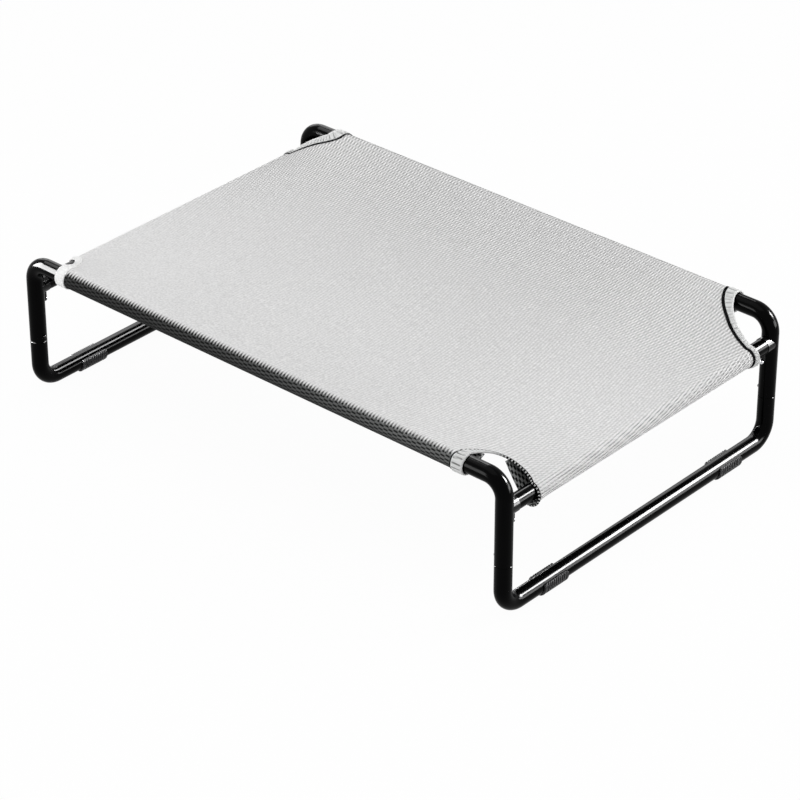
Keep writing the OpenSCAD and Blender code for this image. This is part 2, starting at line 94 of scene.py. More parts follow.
FORMS = {
    ("front", "left"): Corner(
        bare_rail=0.060, bare_cross=0.080, power=1.15, mouth=0.0003,
        tape="cuff", widths=(0.0185, 0.0170, 0.0110, 0.0085, 0.008), gather=0.00015, pitch=0.005),
    ("front", "right"): Corner(
        bare_rail=0.068, bare_cross=0.063, power=3.5, mouth=0.0014,
        tape="gathered", widths=(0.020, 0.018, 0.0006, 0.0004, 0.0008), gather=0.0010, pitch=0.0058,
        shadow_line=0.0012, rail_pull=0.0065, cross_pull=0.008, under_pull=0.005),
    ("back", "left"): Corner(
        bare_rail=0.061, bare_cross=0.0305, power=1.65, mouth=0.0006,
        tape="band", widths=(0.0178, 0.0178, 0.0098, 0.0105, 0.013), gather=0.0008, pitch=0.0045,
        shadow_line=0.0017),
    ("back", "right"): Corner(
        bare_rail=0.061, bare_cross=0.048, power=1.8, mouth=0.0012,
        tape="band", widths=(0.020, 0.019, 0.0065, 0.0060, 0.010), gather=0.0011, pitch=0.0052,
        shadow_line=0.0024, under_pull=0.001),
}


class GlossPanel(NamedTuple):
    """Lamp that only the gloss shows. It faces the middle of the cot, or straight down."""

    name: str
    place: tuple
    size: tuple
    radiance: float  # next to white
    faces_down: bool = False


GLOSS_PANELS = [
    GlossPanel("right_bar_streak", (1.65, 1.87, 1.60), (0.9, 0.9), 390),
    GlossPanel("right_bar_glow", (2.15, 1.5, 0.60), (1.6, 0.8), 38),
    GlossPanel("left_bar_streak", (-0.375, 0.13, 0.155), (0.045, 0.76), 150, faces_down=True),
    GlossPanel("left_corner_streak", (-0.85, -0.66, 0.42), (0.42, 0.46), 225),
    GlossPanel("right_rail_band", (-0.80, -1.9, 0.45), (0.8, 1.0), 16),
    GlossPanel("far_left_upper", (-1.7, 2.0, 2.1), (1.2, 0.6), 20),
    GlossPanel("far_left_wall", (-2.4, 1.9, 1.2), (2.4, 1.4), 5.2),
    GlossPanel("left_ceiling", (-1.75, 0.2, 2.3), (1.6, 1.0), 14),
]


# Settings


def length(name, description, default):
    """Property for a size in metres."""
    return FloatProperty(name=name, description=description, default=default, unit="LENGTH", precision=4)


def tint(name, description, default):
    """Property for a colour."""
    return FloatVectorProperty(name=name, description=description, default=default, subtype="COLOR")


class ClothSettings(bpy.types.PropertyGroup):
    """Sizes and colours of the sling."""

    thickness: length("Thickness", "Thickness of the cloth", 0.0009)
    clearance: length("Clearance", "Room between the cloth and the top of a tube", 0.00015)
    rail_slack: length("Rail slack", "How far a rail's sleeve hangs low", 0.0006)
    cross_slack: length("Pocket slack", "How far a cross tube's pocket hangs low", 0.0016)
    rail_seam: length("Sleeve seam", "From a rail's centre in to its sleeve's seam", 0.032)
    cross_seam: length("Pocket seam", "From a cross tube's centre in to its seam", 0.045)
    columns: IntProperty(name="Columns", description="Cells along the deck", default=150)
    rows: IntProperty(name="Rows", description="Cells across the deck, between the cut-outs", default=72)
    cut_rows: IntProperty(name="Cut rows", description="Cells along each cut-out", default=22)
    turn_rows: IntProperty(name="Turn rows", description="Cells round a tube", default=20)
    flap_rows: IntProperty(name="Flap rows", description="Cells from a tube to its seam", default=4)
    face_color: tint("Face", "Colour of the cloth's face", (0.778, 0.775, 0.774))
    far_color: tint("Far face", "Colour of the face's broad darker patches", (0.50, 0.51, 0.51))
    dark_color: tint("Reverse", "Colour of the dark mesh", (0.010, 0.0104, 0.0104))
    cell_color: tint("Cells", "Colour of the dark mesh's lighter threads", (0.085, 0.087, 0.086))


class BindingSettings(bpy.types.PropertyGroup):
    """Sizes and colours of the tapes that bind the cut-outs."""

    height: length("Height", "How far a tape stands over the cloth", 0.0017)
    lip: length("Lip", "How far a tape reaches past the cloth's edge", 0.0009)
    steps: IntProperty(name="Steps", description="Sections along one tape", default=300)
    color: tint("Tape", "Colour of the tape", (0.80, 0.805, 0.80))
    cuff_color: tint("Cuff", "Colour of the smooth near left tape", (0.97, 0.97, 0.965))
    # dark colour of the painted shadow line inside a tape, and of the stitches on the gathered tape
    stitch_and_shadow_color: tint("Groove", "Colour of the groove inside a tape", (0.006, 0.006, 0.0065))


class FinishSettings(bpy.types.PropertyGroup):
    """Colours and gloss of the frame and its small parts."""

    paint_color: tint("Paint", "Colour of the tubes", (0.0008, 0.0008, 0.0009))
    # colour of the painted highlight along the seams of the left uprights
    seam_highlight_color: tint("Worn edge", "Colour of the edge of the left seams", (0.45, 0.45, 0.45))
    paint_roughness: FloatProperty(name="Paint roughness", description="Roughness of the tubes",
                                   default=0.13, subtype="FACTOR")
    plastic_color: tint("Plastic", "Colour of blocks and buttons", (0.003, 0.003, 0.0032))
    rubber_color: tint("Rubber", "Colour of the feet", (0.010, 0.010, 0.0105))
    zinc_color: tint("Zinc", "Colour of the screws", (0.78, 0.79, 0.81))
    spring_color: tint("Spring", "Colour of the springs", (0.42, 0.44, 0.47))


class StageSettings(bpy.types.PropertyGroup):
    """Where the camera stands, and the strength of the lamps."""

    azimuth: FloatProperty(name="Azimuth", description="Camera's angle round the cot, from its near side",
                           default=math.radians(41.655), subtype="ANGLE")
    elevation: FloatProperty(name="Elevation", description="Camera's angle above level",
                             default=math.radians(31.026), subtype="ANGLE")
    distance: length("Distance", "From the camera to the point it looks at", 4.9149)
    aim_right: length("Aim right", "Right of the middle of the bottom bars", 0.0034)
    aim_up: length("Aim up", "Up from the middle of the bottom bars, in the picture", 0.0117)
    lens: FloatProperty(name="Lens", description="Focal length in millimetres", default=152.81)
    key_power: FloatProperty(name="Key", description="Power of the key panel in watts", default=19)
    top_power: FloatProperty(name="Top", description="Power of the overhead panel in watts", default=19)
    fill_power: FloatProperty(name="Fill", description="Power of the front panel in watts", default=20)
    world_strength: FloatProperty(name="World", description="Strength of the surroundings", default=0.42)


class CotSettings(bpy.types.PropertyGroup):
    """All settings of the cot."""

    cloth: PointerProperty(type=ClothSettings)
    binding: PointerProperty(type=BindingSettings)
    finish: PointerProperty(type=FinishSettings)
    stage: PointerProperty(type=StageSettings)


def settings():
    """The scene's own settings, as the sidebar shows them."""
    return bpy.context.scene.cot


# Form of the cloth


def corner_signs(side, end):
    """Signs of x and y at a corner."""
    return (-1 if end == "left" else 1), (-1 if side == "front" else 1)


class Loop:
    """Path of the cloth round one kind of tube, and on to the seam under the deck."""

    leave_turn = math.radians(215)  # from the tube's top to where the cloth leaves it

    def __init__(self, tube_r, tube_z, slack, seam_in):
        cloth = settings().cloth
        self.radius = tube_r + cloth.clearance + cloth.thickness / 2 + slack
        self.center_z = tube_z - slack
        self.top_z = self.center_z + self.radius
        self.seam_in = seam_in
        self.arc = self.radius * self.leave_turn

    def point(self, distance, seam_z=None):
        """(outward, height, and the normal's outward and upward part) this far past the tube's top."""
        turn = min(distance / self.radius, self.leave_turn)
        out = self.radius * math.sin(turn)
        height = self.center_z + self.radius * math.cos(turn)
        if distance <= self.arc:
            return out, height, math.sin(turn), math.cos(turn)
        run = Vector((-self.seam_in - out, seam_z - height))
        side_light = (distance - self.arc) / self.flap_length(seam_z)
        side = Vector((-run.y, run.x)).normalized()
        return out + run.x * side_light, height + run.y * side_light, -side.x, -side.y

    def flap_length(self, seam_z):
        """From the tube to the seam."""
        out = self.radius * math.sin(self.leave_turn)
        height = self.center_z + self.radius * math.cos(self.leave_turn)
        return math.hypot(-self.seam_in - out, seam_z - height)


def form_at(u, v):
    """Signs and form of the corner nearest to flat coordinates."""
    sx, sy = (-1 if u < 0 else 1), (-1 if v < 0 else 1)
    return sx, sy, FORMS["front" if sy < 0 else "back", "left" if sx < 0 else "right"]


def rail_loop():
    """Path of the cloth round a rail."""
    cloth = settings().cloth
    return Loop(TUBE_R, RAIL_Z, cloth.rail_slack, cloth.rail_seam)


def cross_loop(u=0.0, v=0.0):
    """Path of the cloth round a cross tube, which hangs lower at the pocket's mouth."""
    cloth = settings().cloth
    _, _, form = form_at(u, v)
    fade = 0.006
    inside = HALF_Y - abs(v) - form.bare_cross + form.cross_pull
    gape = form.mouth * math.exp(-max(0, inside) / fade)
    return Loop(CROSS_R, CROSS_Z, cloth.cross_slack + gape, cloth.cross_seam)


@lru_cache(maxsize=None)
def edge_sizes():
    """(height of the long edges, height of the short edges, radius of the long edges)."""
    rail, cross = rail_loop(), cross_loop()
    return rail.top_z, cross.top_z, rail.radius


def deck_z(x, y):
    """Height of a sheet in even tension whose long edges are high and whose short edges are low."""
    width = 2 * HALF_Y
    across = math.cos(math.pi * y / width)
    lift = 1.0
    for inset in (HALF_X + x, HALF_X - x):
        lift -= math.atan2(across, math.sinh(math.pi * inset / width)) / (math.pi / 2)
    high, low, radius = edge_sizes()
    sheet = low + (high - low) * min(1, max(0, lift))
    inset = HALF_Y - abs(y)
    if inset < radius:
        sheet = max(sheet, high - radius + math.sqrt(radius**2 - inset**2))
    return sheet


def cloth_point(u, v):
    """(place, normal) of the cloth's middle at flat coordinates, metres from the deck's middle."""
    past_rail, past_cross = abs(v) - HALF_Y, abs(u) - HALF_X
    if past_rail > 0:
        out, height, n_out, n_up = rail_loop().point(past_rail, RAIL_Z)
        side = math.copysign(1, v)
        return Vector((u, side * (HALF_Y + out), height)), Vector((0, side * n_out, n_up))
    if past_cross > 0:
        out, height, n_out, n_up = cross_loop(u, v).point(past_cross, CROSS_Z)
        side = math.copysign(1, u)
        return Vector((side * (HALF_X + out), v, height)), Vector((side * n_out, 0, n_up))
    step = 0.0004
    slope_x = (deck_z(u + step, v) - deck_z(u - step, v)) / (2 * step)
    slope_y = (deck_z(u, v + step) - deck_z(u, v - step)) / (2 * step)
    return Vector((u, v, deck_z(u, v))), Vector((-slope_x, -slope_y, 1)).normalized()


@lru_cache(maxsize=None)
def outline(form):
    """Fine points of a cut-out's edge, rail first, and the distance to each along the edge."""
    fine = 400
    points = []
    for step in range(fine + 1):
        angle = math.pi / 2 * step / fine
        in_x = form.bare_rail * max(0, math.cos(angle)) ** (2 / form.power)
        in_y = form.bare_cross * math.sin(angle) ** (2 / form.power)
        points.append((in_x, in_y))
    lengths = [0.0]
    for before, after in zip(points, points[1:]):
        lengths.append(lengths[-1] + math.dist(before, after))
    return points, lengths


def cut_point(sx, sy, side_light):
    """Flat point this share of the way along a cut-out's edge, from the rail to the cross tube."""
    _, _, form = form_at(sx, sy)
    points, lengths = outline(form)
    distance = side_light * lengths[-1]
    after = min(max(1, bisect.bisect_left(lengths, distance)), len(lengths) - 1)
    part = (distance - lengths[after - 1]) / (lengths[after] - lengths[after - 1])
    (x0, y0), (x1, y1) = points[after - 1], points[after]
    return sx * (HALF_X - x0 - (x1 - x0) * part), sy * (HALF_Y - y0 - (y1 - y0) * part)


def pulled(u, v):
    """Flat point after the mouths of the sleeves and pockets have crept out along their tubes."""
    reach, fade = 0.010, 0.025
    turn = 0.11  # length over which the pocket's mouth creeps further beneath its tube
    sx, sy, form = form_at(u, v)
    in_x, in_y = HALF_X - sx * u, HALF_Y - sy * v
    rail = form.rail_pull * math.exp(-max(0, in_y) / reach - max(0, in_x - form.bare_rail) / fade)
    under = math.sin(math.pi * min(1, max(0, -in_x) / turn))
    cross = form.cross_pull + form.under_pull * under
    cross *= math.exp(-max(0, in_x) / reach - max(0, in_y - form.bare_cross) / fade)
    return u + sx * rail, v + sy * cross


def row_ends(row):
    """Flat points at the left and right end of a deck row."""
    cloth = settings().cloth
    total = cloth.rows + 2 * cloth.cut_rows
    ends = []
    for sx in (-1, 1):
        if row <= cloth.cut_rows:
            ends.append(cut_point(sx, -1, row / cloth.cut_rows))
        elif row >= total - cloth.cut_rows:
            ends.append(cut_point(sx, 1, (total - row) / cloth.cut_rows))
        else:
            low, high = cut_point(sx, -1, 1), cut_point(sx, 1, 1)
            side_light = (row - cloth.cut_rows) / cloth.rows
            ends.append((low[0] + (high[0] - low[0]) * side_light, low[1] + (high[1] - low[1]) * side_light))
    return ends


def deck_flat(column, row):
    """Flat coordinates of a deck vertex; columns lie closer together near both ends."""
    cloth = settings().cloth
    side_light = column / cloth.columns
    eased = (1 - math.cos(math.pi * side_light)) / 2
    side_light = (side_light + eased) / 2
    left, right = row_ends(row)
    return left[0] + (right[0] - left[0]) * side_light, left[1] + (right[1] - left[1]) * side_light


def past_edge(steps, loop, seam_z):
    """Flat distance past the tube's top of a vertex this many steps outside the deck."""
    cloth = settings().cloth
    if steps <= cloth.turn_rows:
        return loop.arc * steps / cloth.turn_rows
    return loop.arc + loop.flap_length(seam_z) * (steps - cloth.turn_rows) / cloth.flap_rows


def sling_vertex(column, row):
    """(place, flat coordinates) of one vertex of the sling."""
    cloth = settings().cloth
    last_row = cloth.rows + 2 * cloth.cut_rows
    seam_room = 0.0002
    below = cloth.thickness + seam_room
    u, v = deck_flat(min(max(column, 0), cloth.columns), min(max(row, 0), last_row))
    if row < 0 or row > last_row:
        side = -1 if row < 0 else 1
        loop = rail_loop()
        seam_z = deck_z(u, side * (HALF_Y - loop.seam_in)) - below
        distance = past_edge(-row if row < 0 else row - last_row, loop, seam_z)
        u, v = pulled(u, side * (HALF_Y + distance))
        out, height, _, _ = loop.point(distance, seam_z)
        return Vector((u, side * (HALF_Y + out), height)), (u, v)
    if column < 0 or column > cloth.columns:
        side = -1 if column < 0 else 1
        seam_z = deck_z(side * (HALF_X - cloth.cross_seam), v) - below
        steps = -column if column < 0 else column - cloth.columns
        _, v = pulled(side * (HALF_X + past_edge(steps, cross_loop(), seam_z)), v)
        loop = cross_loop(side, v)
        distance = past_edge(steps, loop, seam_z)
        out, height, _, _ = loop.point(distance, seam_z)
        return Vector((side * (HALF_X + out), v, height)), (side * (HALF_X + distance), v)
    u, v = pulled(u, v)
    return Vector((u, v, deck_z(u, v))), (u, v)


# Mesh helpers


def link_mesh(bm, name, smooth=True):
    """Turns a bmesh into an object at the origin."""
    mesh = bpy.data.meshes.new(name)
    bm.to_mesh(mesh)
    bm.free()
    piece = bpy.data.objects.new(name, mesh)
    bpy.context.scene.collection.objects.link(piece)
    for polygon in mesh.polygons:
        polygon.use_smooth = smooth
    return piece


def sweep(name, sections):
    """Closed band through sections, each a ring of as many (place, along, across, fold)."""
    around, along = len(sections[0]), len(sections)
    bm = bmesh.new()
    bmesh.ops.create_grid(bm, x_segments=around, y_segments=along - 1, size=0.5)
    flat = bm.verts.layers.float_vector.new("flat")
    for vert in bm.verts:
        spot = round((vert.co.x + 0.5) * around) % around
        point, *rest = sections[round((vert.co.y + 0.5) * (along - 1))][spot]
        vert.co = point
        vert[flat] = rest
    bmesh.ops.remove_doubles(bm, verts=bm.verts[:], dist=1e-6)
    bmesh.ops.holes_fill(bm, edges=[e for e in bm.edges if e.is_boundary], sides=0)
    bmesh.ops.recalc_face_normals(bm, faces=bm.faces[:])
    uv = bm.loops.layers.uv.new("flat_tape")
    for face in bm.faces:
        for loop in face.loops:
            loop[uv].uv = loop.vert[flat].xy
    return link_mesh(bm, name)


def finish_piece(piece, materials, replaces=()):
    """Gives a new piece its materials, hangs it on the root body, and hides the CAD parts it replaces."""
    for material in materials:
        piece.data.materials.append(material)
    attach(piece, "root")
    if replaces:
        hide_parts(*replaces)


# Materials


class Nodes:
    """Short way to build a material's node tree."""

    def __init__(self, name):
        self.material = bpy.data.materials.new(name)
        self.material.use_nodes = True
        self.tree = self.material.node_tree
        self.shader = self.tree.nodes["Principled BSDF"]

    def add(self, kind, inputs=(), **values):
        """New node, its inputs set or linked."""
        node = self.tree.nodes.new(kind)
        for key, value in values.items():
            setattr(node, key, value)
        for key, value in dict(inputs).items():
            self.set(node.inputs[key], value)
        return node

    def set(self, socket, value):
        if isinstance(value, bpy.types.NodeSocket):
            self.tree.links.new(value, socket)
        else:
            socket.default_value = value

    def shade(self, **values):
        """Sets or links the shader's own sockets."""
        for key, value in values.items():
            self.set(self.shader.inputs[key.replace("_", " ")], value)

    def math(self, operation, *values):
        node = self.add("ShaderNodeMath", operation=operation)
        for socket, value in zip(node.inputs, values):
            self.set(socket, value)
        return node.outputs[0]

    def wave(self, value, period):
        """Cosine of a length with this period, in metres."""
        return self.math("COSINE", self.math("MULTIPLY", value, math.tau / period))

    def ramp(self, value, low, high):
        """0 before low, 1 past high, smooth between; high may be the lesser number."""
        node = self.add("ShaderNodeMapRange", interpolation_type="SMOOTHSTEP")
        for key, number in (("Value", value), ("From Min", low), ("From Max", high)):
            self.set(node.inputs[key], number)
        return node.outputs[0]

    def mix(self, side_light, first, second):
        """Colour from first at 0 to second at 1."""
        node = self.add("ShaderNodeMix", data_type="RGBA")
        for index, value in ((0, side_light), (6, first), (7, second)):
            self.set(node.inputs[index], value)
        return node.outputs[2]

    def place(self):
        """Place on the object, in metres."""
        return self.add("ShaderNodeTexCoord").outputs["Object"]

    def noise(self, scale, detail=2.0, coordinates=None):
        coordinates = coordinates or self.place()
        inputs = {"Vector": coordinates, "Scale": scale, "Detail": detail}
        return self.add("ShaderNodeTexNoise", inputs).outputs[0]

    def bump(self, height, distance, strength=1.0, under=None):
        """Normal of a bump, on top of another one if there is one."""
        inputs = {"Height": height, "Distance": distance, "Strength": strength}
        if under:
            inputs["Normal"] = under
        return self.add("ShaderNodeBump", inputs).outputs[0]

    def uv(self):
        """The two flat coordinates of the cloth, in metres."""
        return self.split(self.add("ShaderNodeTexCoord").outputs["UV"])[:2]

    def split(self, vector):
        return self.add("ShaderNodeSeparateXYZ", {"Vector": vector}).outputs[:]

    def rough(self, scale, low, high, detail=3.0):
        """Roughness that drifts between two values."""
        inputs = {"Value": self.noise(scale, detail), "To Min": low, "To Max": high}
        return self.add("ShaderNodeMapRange", inputs).outputs[0]


def opaque(color, side_light=1.0):
    """Colour with its alpha, made lighter or darker by a share."""
    return (*(part * side_light for part in color), 1.0)


def dark_cells(nodes, u, past):
    """Long cells of the dark mesh, in leaning rows: 0 in a cell, 1 on its threads."""
    right_leaning, left_leaning, rows = 78, 43, 195  # waves in a metre
    down = nodes.math("MULTIPLY", past, math.tau * rows)
    along = [nodes.math("MULTIPLY", u, math.tau * waves) for waves in (right_leaning, left_leaning)]
    first = nodes.math("COSINE", nodes.math("SUBTRACT", along[0], down))
    second = nodes.math("COSINE", nodes.math("ADD", along[1], down))
    return nodes.ramp(nodes.math("ADD", first, second), 1.0, -0.7)


def weave(nodes, u, v, along, across, wider, leaning):
    """Diagonal line pattern of the deck, in waves a metre, whose pitch and lean drift over it."""
    phase = nodes.math("MULTIPLY_ADD", u, along, nodes.math("MULTIPLY", v, across))
    phase = nodes.math("MULTIPLY_ADD", nodes.math("MULTIPLY", u, u), wider, phase)
    phase = nodes.math("MULTIPLY_ADD", nodes.math("MULTIPLY", v, v), leaning, phase)
    return nodes.math("COSINE", nodes.math("MULTIPLY", phase, math.tau))


def face_dimples(nodes, u, v, over_tube):
    """Two line patterns that cross, whose dark lines carry the painted shade of the dimples. The second
    shows only at the back and at the near right corner.
    """
    least, over_depth, back_depth, near_depth = 0.012, 0.55, 0.29, 0.11
    lines = weave(nodes, u, v, along=200, across=42, wider=35, leaning=80)
    cross_lines = weave(nodes, u, v, along=190, across=-78, wider=35, leaning=120)
    by_row = nodes.math("MULTIPLY_ADD", u, -0.80, 0.27)
    by_column = nodes.math("MULTIPLY_ADD", u, 0.05, 0.105)
    depth = nodes.math("MAXIMUM", nodes.math("MULTIPLY_ADD", v, by_row, by_column), least)
    depth = nodes.math("MULTIPLY_ADD", over_tube, over_depth, depth)
    near_right = nodes.math("MULTIPLY", nodes.ramp(u, 0.28, 0.44), nodes.ramp(v, 0.05, -0.15))
    cross_depth = nodes.math("MULTIPLY", nodes.ramp(v, 0.0, 0.21), back_depth)
    cross_depth = nodes.math("MULTIPLY_ADD", near_right, near_depth, cross_depth)
    return nodes.math("MULTIPLY_ADD", lines, depth, nodes.math("MULTIPLY", cross_lines, cross_depth))


def face_shade(nodes, u, v, over_tube, dimples, grain):
    """How light the face is: its dimples' painted shade, broken into dots, its grain and where it lies.

    Painted shade makes the deck a little darker at the back, and painted light makes it lighter at both
    ends and over the cross tubes, where the painted shade of creases runs across it.
    """
    crease_pitch = 0.0036
    creases = nodes.wave(nodes.math("ABSOLUTE", u), crease_pitch)
    dots = nodes.math("MULTIPLY_ADD", grain, 1.6, 0.2)
    shade = nodes.math("MULTIPLY_ADD", nodes.math("MULTIPLY", dimples, dots), 1.15, 0.26)
    changes = [
        (grain, 0.68),
        # painted shade towards the back, painted light at both ends, and painted light with painted
        # crease shade over the cross tubes
        (nodes.ramp(v, -0.2, 0.28), -0.17),
        (nodes.ramp(u, 0.15, 0.45), 0.11),
        (nodes.ramp(u, -0.1, -0.42), 0.08),
        (over_tube, nodes.math("MULTIPLY_ADD", creases, 0.28, 0.30)),
    ]
    for where, change in changes:
        shade = nodes.math("MULTIPLY_ADD", where, change, shade)
    return shade


def sleeve_mesh(nodes, u, past):
    """(colour, height) of the dark mesh down the side of a sleeve, with painted shade below and towards
    the left.
    """
    cloth = settings().cloth
    lift, left_light = 2.25, 0.24
    threads = dark_cells(nodes, u, past)
    # painted shade: the lighter threads fade out lower down the sleeve
    shaded_threads = nodes.math("MULTIPLY", threads, nodes.ramp(past, 0.036, 0.015))
    color = nodes.mix(shaded_threads, opaque(cloth.dark_color, lift), opaque(cloth.cell_color, lift))
    # painted shade towards the left, painted light towards the right
    right = nodes.math("POWER", nodes.ramp(u, -0.45, 0.5), 2.0)
    side_light = nodes.math("MULTIPLY_ADD", right, 1 - left_light, left_light)
    return nodes.mix(side_light, opaque((0.0, 0.0, 0.0)), color), threads


def face_material():
    """Light face of the cloth, which gives way to dark mesh in small teeth down the sleeves."""
    cloth = settings().cloth
    tooth_pitch, tooth_depth, tooth_fade = 0.0054, 0.0028, 0.0077
    nodes = Nodes("cloth_face")
    u, v = nodes.uv()
    over_tube = nodes.ramp(nodes.math("ABSOLUTE", u), HALF_X + 0.001, HALF_X + 0.012)
    grain = nodes.noise(330.0, 1.0)
    broad = nodes.noise(2.2, 3.0)
    dimples = face_dimples(nodes, u, v, over_tube)
    shade = face_shade(nodes, u, v, over_tube, dimples, grain)
    # the face's colour takes the dimples' painted shade and the painted light and shade of face_shade
    light = nodes.mix(shade, opaque(cloth.face_color, 0.5), opaque(cloth.face_color, 1.3))
    light = nodes.mix(nodes.math("MULTIPLY", broad, 0.16), light, opaque(cloth.far_color))
    past = nodes.math("SUBTRACT", nodes.math("ABSOLUTE", v), HALF_Y)
    dark, threads = sleeve_mesh(nodes, u, past)
    teeth = nodes.math("MULTIPLY_ADD", nodes.wave(u, tooth_pitch), tooth_depth, past)
    side = nodes.ramp(teeth, tooth_depth, tooth_depth + tooth_fade)
    nodes.shade(Base_Color=nodes.mix(side, light, dark), Roughness=0.82, Sheen_Weight=0.08,
                Sheen_Roughness=0.5, Specular_IOR_Level=0.0)
    height = nodes.mix(side, dimples, threads)
    nodes.shade(Normal=nodes.bump(height, 0.0006, 0.75, nodes.bump(grain, 0.0001, 0.3)))
    return nodes.material


def reverse_material():
    """Dark reverse of the cloth, seen inside the pockets and from below."""
    cloth = settings().cloth
    lean, pitch, lift = 0.62, 0.0074, 4.5
    nodes = Nodes("cloth_reverse")
    u, v = nodes.uv()
    waves = [nodes.wave(nodes.math("MULTIPLY_ADD", u, sign * lean, v), pitch) for sign in (1, -1)]
    threads = nodes.ramp(nodes.math("ADD", *waves), -0.7, 0.6)
    color = nodes.mix(threads, opaque(cloth.dark_color), opaque(cloth.cell_color, lift))
    nodes.shade(Base_Color=color, Roughness=0.75, Specular_IOR_Level=0.05)
    nodes.shade(Normal=nodes.bump(threads, 0.0004, 0.8))
    return nodes.material


def fold_value(nodes):
    """How high the tape's folds stand, -1 to 1, which sets the painted shade in their valleys."""
    attribute = nodes.add("ShaderNodeAttribute", attribute_name="flat")
    return nodes.split(attribute.outputs["Vector"])[2]


def stitch_row(nodes, along, across):
    """Row of stitches close to the tape's edge, along the part that crosses the deck."""
    pitch, starts, full = 0.0046, 0.098, 0.118
    near_edge = nodes.ramp(across, 0.0024, 0.0014)
    narrow = nodes.math("MULTIPLY", nodes.ramp(along, starts, full), near_edge)
    return nodes.math("MULTIPLY", narrow, nodes.ramp(nodes.wave(along, pitch), 0.9, -0.2))


def tape_material(name, color, fold_shade, stitched=False):
    """Binding tape with a fine twill, with painted shade in the valleys of its folds, and darker where it
    is stitched.
    """
    twill_pitch = 0.0011
    nodes = Nodes(f"binding_{name}")
    along, across = nodes.uv()
    twill = nodes.wave(nodes.math("ADD", along, across), twill_pitch)
    puckers = nodes.noise(260.0, 2.0)
    folds = nodes.math("ADD", fold_value(nodes), nodes.math("MULTIPLY", puckers, 0.5))
    # painted shade: the tape darkens in the valleys of its folds and puckers
    tape = nodes.mix(nodes.ramp(folds, -0.75, 0.35), opaque(color, fold_shade), opaque(color))
    if stitched:
        stitch_and_shadow_color = opaque(settings().binding.stitch_and_shadow_color)
        tape = nodes.mix(stitch_row(nodes, along, across), tape, stitch_and_shadow_color)
    nodes.shade(Base_Color=tape, Roughness=0.7, Sheen_Weight=0.1, Specular_IOR_Level=0.0)
    nodes.shade(Normal=nodes.bump(twill, 0.00008, 0.5, nodes.bump(puckers, 0.0006, 0.4)))
    return nodes.material


def shadow_line_material():
    """Painted shadow along the inner edge of a tape: a dark strip with stitch marks, where the tape's
    raised edge casts its shade.
    """
    pitch, lift = 0.0024, 2.5
    dark = settings().binding.stitch_and_shadow_color
    nodes = Nodes("binding_shadow_line")
    along, across = nodes.uv()
    stitch = nodes.wave(nodes.math("ADD", along, across), pitch)
    color = nodes.mix(nodes.ramp(stitch, -0.2, 0.9), opaque(dark), opaque(dark, lift))
    nodes.shade(Base_Color=color, Roughness=0.8, Specular_IOR_Level=0.0)
    nodes.shade(Normal=nodes.bump(stitch, 0.0002, 0.6))
    return nodes.material


def paint_material():
    """Gloss black powder coat with a faint orange peel, and a painted highlight at the seams of the left
    uprights.
    """
    finish = settings().finish
    nodes = Nodes("gloss_black_paint")
    peel = nodes.noise(420.0, 1.0)
    rough = nodes.rough(18.0, finish.paint_roughness * 0.8, finish.paint_roughness * 1.25)
    x, _, z = nodes.split(nodes.place())
    from_seam = nodes.math("ABSOLUTE", nodes.math("SUBTRACT", z, SEAM_Z))
    # painted highlight: a light line along the seam of each left upright, where the joint's edge catches
    # the light
    highlight_half, highlight_fade = 0.0006, 0.0009
    at_left = nodes.ramp(x, 0.006 - HALF_X, 0.003 - HALF_X)
    seam_highlight = nodes.math("MULTIPLY", nodes.ramp(from_seam, highlight_fade, highlight_half), at_left)
    color = nodes.mix(seam_highlight, opaque(finish.paint_color), opaque(finish.seam_highlight_color))
    nodes.shade(Base_Color=color, Roughness=rough, Specular_IOR_Level=0.03)
    nodes.shade(Normal=nodes.bump(peel, 0.00004, 0.15))
    return nodes.material


def plastic_material():
    """Moulded black plastic with a slight flow haze."""
    color = opaque(settings().finish.plastic_color)
    nodes = Nodes("black_plastic")
    nodes.shade(Base_Color=color, Roughness=nodes.rough(60.0, 0.15, 0.25), Specular_IOR_Level=0.14)
    nodes.shade(Normal=nodes.bump(nodes.noise(900.0, 1.0), 0.00003, 0.3))
    return nodes.material


def rubber_material():
    """Ribbed black feet: satin, with painted highlights on the ribs, leaving their grooves darker."""
    lift = 10.0
    rubber = settings().finish.rubber_color
    low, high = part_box("foot_back_left")
    nodes = Nodes("foot_rubber")
    y = nodes.split(nodes.place())[1]
    from_middle = nodes.math("SUBTRACT", nodes.math("ABSOLUTE", y), (low.y + high.y) / 2)
    ribs = nodes.ramp(nodes.wave(from_middle, RIB_PITCH), -0.1, 0.5)
    # painted highlight on the ribs, strongest where the noise is high; the grooves stay dark
    rib_highlight = nodes.math("MULTIPLY", ribs, nodes.ramp(nodes.noise(120.0, 3.0), 0.2, 0.6))
    color = nodes.mix(rib_highlight, opaque(rubber), opaque(rubber, lift))
    nodes.shade(Base_Color=color, Roughness=0.3, Specular_IOR_Level=0.12)
    nodes.shade(Normal=nodes.bump(nodes.noise(1400.0, 1.0), 0.00004, 0.4))
    return nodes.material


def zinc_material():
    """Bright zinc plate on the screws."""
    color = opaque(settings().finish.zinc_color)
    nodes = Nodes("bright_zinc")
    nodes.shade(Base_Color=color, Metallic=1.0, Roughness=nodes.rough(900.0, 0.14, 0.3, detail=2.0))
    return nodes.material


